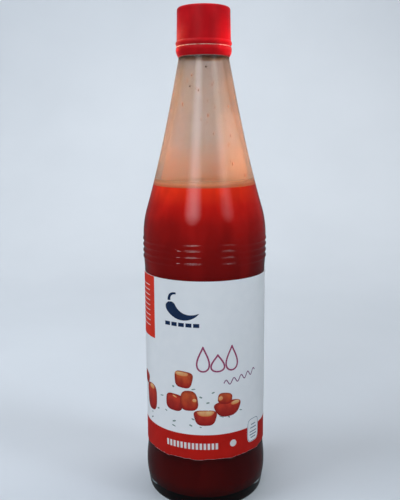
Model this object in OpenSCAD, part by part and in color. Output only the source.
// Hot sauce bottle: a tall round glass bottle with a long cone, filled with sauce,
// wrapped in a paper label and closed by a plastic cap above its tamper band.
// Millimetres. The axis is Z, the bottle stands on z = 0 and the label's front faces -Y.

/* [Body] */
// Diameter over the bands at the heel and under the shoulder
body_d = 48.8; // [40:0.1:60]
// Height at which the shoulder starts to curve in
shoulder_z = 106; // [80:0.5:132]
// Depth of the label panel below the bands
panel_depth = 0.55; // [0.3:0.05:1]
// Thickness of the glass wall
wall = 1.85; // [1.5:0.05:3]

/* [Foot and heel] */
// How far the standing ring lies inside the bands' radius
foot_inset = 4.4; // [4:0.1:7]
// Width of the flat standing ring
foot_w = 3.2; // [1.5:0.1:6]
// Height of the hollow under the middle of the base
push_up = 2.5; // [1:0.1:4]
// Thickness of the glass floor
floor_t = 4.2; // [2.5:0.1:7]
// Radius of the curve from the standing ring to the heel
heel_arc_r = 3.4; // [2:0.1:3.9]
// Height at which the heel reaches its full diameter
heel_band_z = 9.5; // [8:0.1:14]
// Height of the band round the heel
heel_band_h = 4.2; // [2:0.1:8]
// Length of the slope between a band and the label panel
panel_slope_h = 5; // [2:0.1:8]
// Radius of the curve between floor and wall inside
inner_heel_r = 6; // [3:0.1:9]

/* [Rings] */
// Number of moulded rings under the shoulder
ring_count = 4; // [2:1:6]
// Distance from one ring to the next
ring_pitch = 2.35; // [1.8:0.05:4]
// Radius of a ring's round section
ring_bead_r = 0.9; // [0.7:0.05:1.2]
// How far the glass between the rings lies below their crests
ring_relief = 0.3; // [0.1:0.05:0.6]
// Distance from the top ring to the start of the shoulder
ring_drop = 1; // [1:0.1:4]
// Distance from the lowest ring to the foot of its band
ring_foot = 1.6; // [1:0.1:4]

/* [Shoulder and cone] */
// How far the shoulder starts inside the bands' radius
shoulder_step = 0.2; // [0:0.05:0.3]
// Radius of the shoulder's curve in side view
shoulder_arc_r = 38; // [20:0.5:60]
// Lean of the wall where the shoulder ends, in degrees
shoulder_lean = 16.5; // [10:0.5:24]
// Height of the cone, from the start of the shoulder to the neck
cone_h = 66.8; // [54:0.1:82]
// Lean of the wall where the cone meets the neck, in degrees
neck_lean = 11; // [4:0.5:16]

/* [Neck] */
// Diameter of the neck just under the tamper band
neck_d = 19.3; // [16:0.1:24]
// Height of the straight neck between the cone and the tamper band
neck_h = 1; // [0.5:0.1:4]
// Step from the neck in to the glass inside the cap
finish_step = 0.85; // [0.5:0.05:1.2]
// Height of the glass inside the tamper band and the cap
finish_h = 16.8; // [13:0.1:22]
// Thickness of the glass inside the cap
finish_wall = 2.2; // [1.8:0.05:3]
// Rounding of the mouth's rim
rim_r = 0.5; // [0.2:0.05:0.8]

/* [Sauce] */
// Distance from the mouth down to the sauce
fill_drop = 65.9; // [40:0.1:90]

/* [Label] */
// Thickness of the label paper
paper_t = 0.12; // [0.08:0.01:0.2]
// Bare panel above the label
label_gap_top = 1.85; // [0.5:0.05:6]
// Bare panel below the label
label_gap_bottom = 3.2; // [0.5:0.1:8]
// Width of the glued overlap at the back
overlap_w = 8; // [4:0.5:14]

/* [Cap] */
// Thickness of the cap's skirt at its top
cap_wall = 1.1; // [0.8:0.05:2]
// Thickness of the cap's top
cap_top_t = 1.2; // [1:0.05:2.5]
// How much the skirt's radius grows from its top to its bottom
cap_draft = 0.22; // [0:0.02:0.6]
// Rounding of the cap's top edge
cap_edge_r = 0.9; // [0.4:0.05:1]
// How far the bead round the cap's bottom edge stands out
lip_out = 0.4; // [0.1:0.05:0.8]
// Height of the bead round the cap's bottom edge
lip_h = 2; // [1:0.1:3]

/* [Tamper band] */
// Height of the tamper band
band_h = 3.4; // [2:0.1:5]
// Thickness of the tamper band at its bottom edge
band_wall = 0.95; // [0.6:0.05:1.6]
// How far the tamper band swells out
band_swell = 0.7; // [0.2:0.05:1]
// Gap between the cap and the tamper band
band_gap = 0.35; // [0.2:0.05:0.9]

/* [Clearances] */
// Clearance round the glass inside the cap and the tamper band
cap_clear = 0.15; // [0.08:0.01:0.2]
// Clearance between the tamper band and the glass step under it
seat_clear = 0.2; // [0.1:0.05:0.4]
// Thickness of the glue under the label
glue_t = 0.03; // [0.02:0.01:0.1]
// Clearance between the sauce and the glass
sauce_clear = 0.05; // [0.02:0.01:0.1]

/* [Hidden] */
$fn = 96;
// Steps along a curve of an outline
steps = 12;
// Length of the cone's handles, as a share of its chord
cone_handle = 0.35;
// Part of a half turn over which the tamper band swells out and comes back in
band_turn = 130;
// Overhang of a cutting shape past the shape that it cuts
cut = 1;

band_r = body_d / 2;
panel_r = band_r - panel_depth;
foot_r = band_r - foot_inset;
foot_in_r = foot_r - foot_w;
shoulder_r = band_r - shoulder_step;
cavity_r = panel_r - wall;
neck_r = neck_d / 2;
finish_r = neck_r - finish_step;
bore_r = finish_r - finish_wall;

ring_top_z = shoulder_z - ring_drop;
ring_low_z = ring_top_z - (ring_count - 1) * ring_pitch;
ring_zone_z = ring_low_z - ring_foot;
panel_top_z = ring_zone_z - panel_slope_h / 2;
panel_low_z = heel_band_z + heel_band_h + panel_slope_h;
neck_z = shoulder_z + cone_h;
finish_z = neck_z + neck_h;
mouth_z = finish_z + finish_h;
fill_z = mouth_z - fill_drop;

label_low_z = panel_low_z + label_gap_bottom;
label_h = panel_top_z - label_gap_top - label_low_z;
label_in_r = panel_r + glue_t;

cap_bore_r = finish_r + cap_clear;
cap_r = cap_bore_r + cap_wall;
band_z = finish_z + seat_clear;
cap_z = band_z + band_h + band_gap;
cap_top_z = mouth_z + cap_top_t;

// Points of an arc round [cr, cz], from angle a0 to angle a1
function arc(cr, cz, r, a0, a1) =
    [for (i = [0:steps]) let (a = a0 + (a1 - a0) * i / steps) [cr + r * cos(a), cz + r * sin(a)]];

// Points of a cubic curve after p0, with the handles p1 and p2 and the end p3
function cubic(p0, p1, p2, p3) =
    [for (i = [1:steps]) let (t = i / steps, s = 1 - t)
        s * s * s * p0 + 3 * s * s * t * p1 + 3 * s * t * t * p2 + t * t * t * p3];

// Points of a flat dome, from "middle" on the axis down to "edge" at radius "rim"
function dome(rim, middle, edge) =
    [for (i = [0:steps]) let (t = i / steps) [rim * t, edge + (middle - edge) * (1 - t * t)]];

// Points of a wall from z up by h that swells out by "out" over "turn" degrees of a sine
function swell(r, z, h, out, turn) =
    [for (i = [0:steps]) let (t = i / steps) [r + out * sin(turn * t), z + h * t]];

// Shoulder and cone, moved in by "inset" at right angles to the wall
function shoulder_and_cone(inset) =
    let (
        a0 = shoulder_lean,
        a1 = neck_lean,
        start = arc(shoulder_r - shoulder_arc_r, shoulder_z, shoulder_arc_r - inset, 0, a0),
        p0 = start[steps],
        p3 = [neck_r, neck_z] - inset * [cos(a1), sin(a1)],
        handle = cone_handle * norm(p3 - p0)
    )
    concat(start, cubic(p0, p0 + handle * [-sin(a0), cos(a0)], p3 - handle * [-sin(a1), cos(a1)], p3));

// Angle on the heel's curve where the straight line up to the heel band touches it
function heel_angle() =
    let (dr = foot_inset, dz = heel_band_z - heel_arc_r)
    atan2(dz, dr) - acos(heel_arc_r / norm([dr, dz]));

// Half section of the glass outside
function outside() = concat(
    dome(foot_in_r, push_up, 0),
    arc(foot_r, heel_arc_r, heel_arc_r, -90, heel_angle()),
    [[band_r, heel_band_z]],
    [[band_r, heel_band_z + heel_band_h]],
    [[panel_r, panel_low_z]],
    [[panel_r, panel_top_z]],
    [[band_r - ring_relief, ring_zone_z]],
    [[band_r - ring_relief, ring_top_z]],
    shoulder_and_cone(0),
    [[neck_r, finish_z]],
    [[finish_r, finish_z]],
    arc(finish_r - rim_r, mouth_z - rim_r, rim_r, 0, 90),
    [[0, mouth_z]]
);

// Half section of the space in the glass, moved in by "gap" from its wall
function inside(gap) =
    let (heel_r = inner_heel_r - gap, edge_r = cavity_r - inner_heel_r, edge_z = floor_t + gap)
    concat(
        dome(edge_r, edge_z + push_up, edge_z),
        arc(edge_r, edge_z + heel_r, heel_r, -90, 0),
        shoulder_and_cone(shoulder_r - cavity_r + gap),
        [[bore_r - gap, finish_z]],
        [[bore_r - gap, mouth_z + cut]],
        [[0, mouth_z + cut]]
    );

// A tube round the axis from z up by h
module tube(r_in, r_out, z, h) {
    translate([0, 0, z])
    difference() {
        cylinder(r = r_out, h = h);
        translate([0, 0, -cut]) cylinder(r = r_in, h = h + 2 * cut);
    }
}

// One moulded ring, whose crest is level with the bands
module ring(z) {
    rotate_extrude() translate([band_r - ring_bead_r, z]) circle(r = ring_bead_r);
}

// The bottle: heel, sunken label panel, rings, shoulder, cone and neck, open at the mouth
module glass_bottle() {
    color([0.82, 0.9, 0.9, 0.4])
    difference() {
        union() {
            rotate_extrude() polygon(outside());
            for (i = [0:ring_count - 1]) ring(ring_low_z + i * ring_pitch);
        }
        rotate_extrude() polygon(inside(0));
    }
}

// The sauce fills the glass up to its level
module sauce() {
    color([0.72, 0.06, 0.02])
    intersection() {
        rotate_extrude() polygon(inside(sauce_clear));
        cylinder(r = band_r, h = fill_z);
    }
}

// The paper goes once round the panel and overlaps at the back
module label() {
    color([0.93, 0.94, 0.95])
    union() {
        tube(label_in_r, label_in_r + paper_t, label_low_z, label_h);
        intersection() {
            tube(label_in_r, label_in_r + 2 * paper_t, label_low_z, label_h);
            translate([-overlap_w / 2, 0, label_low_z]) cube([overlap_w, body_d, label_h]);
        }
    }
}

// The cap: a smooth skirt with a bead round its bottom edge, closed on the mouth's rim
module cap() {
    color([0.75, 0.03, 0.04])
    rotate_extrude() polygon(concat(
        [[cap_bore_r, cap_z]],
        swell(cap_r + cap_draft, cap_z, lip_h, lip_out, 180),
        arc(cap_r - cap_edge_r, cap_top_z - cap_edge_r, cap_edge_r, 0, 90),
        [[0, cap_top_z]],
        [[0, mouth_z]],
        [[cap_bore_r, mouth_z]]
    ));
}

// The tamper band: the ring that stays on the neck when the cap is turned off
module tamper_band() {
    color([0.7, 0.03, 0.04])
    rotate_extrude() polygon(concat(
        swell(cap_bore_r + band_wall, band_z, band_h, band_swell, band_turn),
        [[cap_bore_r, band_z + band_h]],
        [[cap_bore_r, band_z]]
    ));
}

glass_bottle();
sauce();
label();
cap();
tamper_band();
